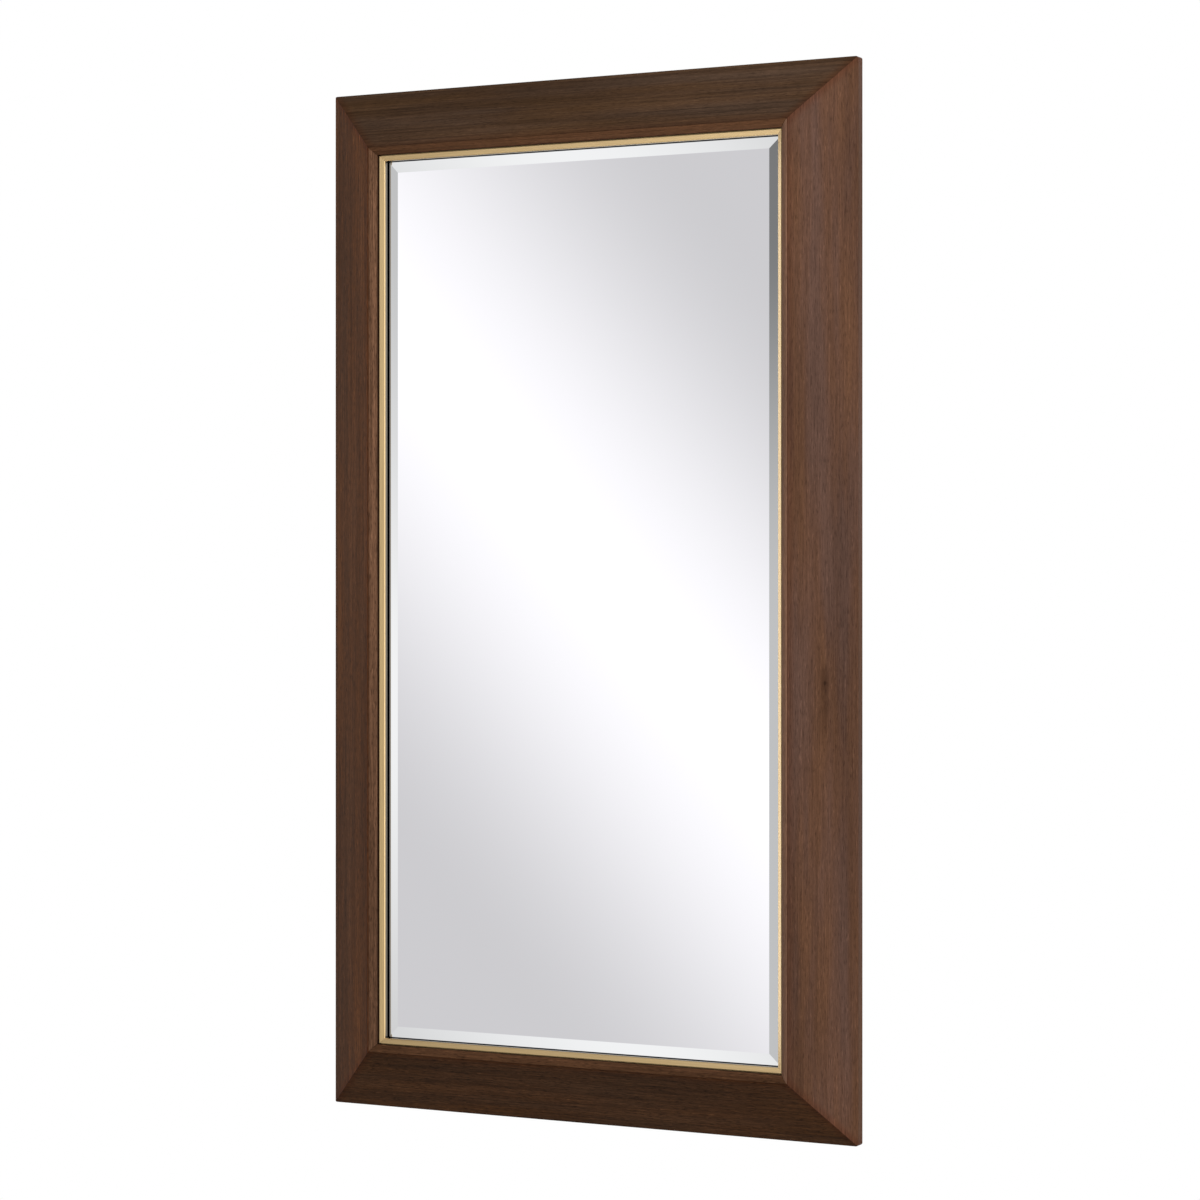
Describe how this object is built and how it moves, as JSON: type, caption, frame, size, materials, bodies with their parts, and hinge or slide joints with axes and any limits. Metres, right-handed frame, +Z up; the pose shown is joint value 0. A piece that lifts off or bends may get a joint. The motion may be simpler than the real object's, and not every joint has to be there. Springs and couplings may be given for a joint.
{
  "type": "rectangular wall mirror",
  "caption": "Rectangular wall mirror: a bevelled plate in a mitred walnut frame with a thin brass-coloured slip, hung by ring hangers on its back.",
  "frame": {"origin": "middle of the wall plane, which the rubber bumpers touch", "axes": "+X right as the viewer sees the mirror, +Y towards the wall, +Z up"},
  "size_m": [0.686, 0.058, 1.219],
  "materials": {
    "walnut": "satin lacquer",
    "brass_coloured_aluminium": "satin brushed, anodised",
    "silvered_glass": "polished",
    "black_rubber": "matte",
    "grey_board": "matte",
    "fibreboard": "smooth, unfinished",
    "beech": "unfinished",
    "zinc_plated_steel": "zinc"
  },
  "bodies": {
    "frame": {"top_rail": "walnut", "right_stile": "walnut", "bottom_rail": "walnut", "left_stile": "walnut", "slip_top": "brass_coloured_aluminium", "slip_right": "brass_coloured_aluminium", "slip_bottom": "brass_coloured_aluminium", "slip_left": "brass_coloured_aluminium", "mirror_plate": "silvered_glass", "setting_blocks": "black_rubber", "edge_spacers": "black_rubber", "bumper_top_left": "black_rubber", "bumper_top_right": "black_rubber", "bumper_bottom_left": "black_rubber", "bumper_bottom_right": "black_rubber", "backing_pad": "grey_board", "backing_board": "fibreboard", "biscuit_top_left": "beech", "biscuit_top_right": "beech", "biscuit_bottom_left": "beech", "biscuit_bottom_right": "beech", "corner_plate_top_left": "zinc_plated_steel", "corner_plate_top_right": "zinc_plated_steel", "corner_plate_bottom_left": "zinc_plated_steel", "corner_plate_bottom_right": "zinc_plated_steel", "board_screws": "zinc_plated_steel", "corner_plate_screws": "zinc_plated_steel", "hanger_screws": "zinc_plated_steel", "left_hanger_strap": "zinc_plated_steel", "right_hanger_strap": "zinc_plated_steel"},
    "left_ring": {"left_ring": "zinc_plated_steel"},
    "right_ring": {"right_ring": "zinc_plated_steel"}
  },
  "joints": [
    {"name": "left_ring_swing", "type": "hinge", "parent": "frame", "child": "left_ring", "pos_m": [-0.314, -0.0034, 0.3095], "axis": [1, 0, 0], "range_deg": [0, 180]},
    {"name": "right_ring_swing", "type": "hinge", "parent": "frame", "child": "right_ring", "pos_m": [0.314, -0.0034, 0.3095], "axis": [1, 0, 0], "range_deg": [0, 180]}
  ]
}
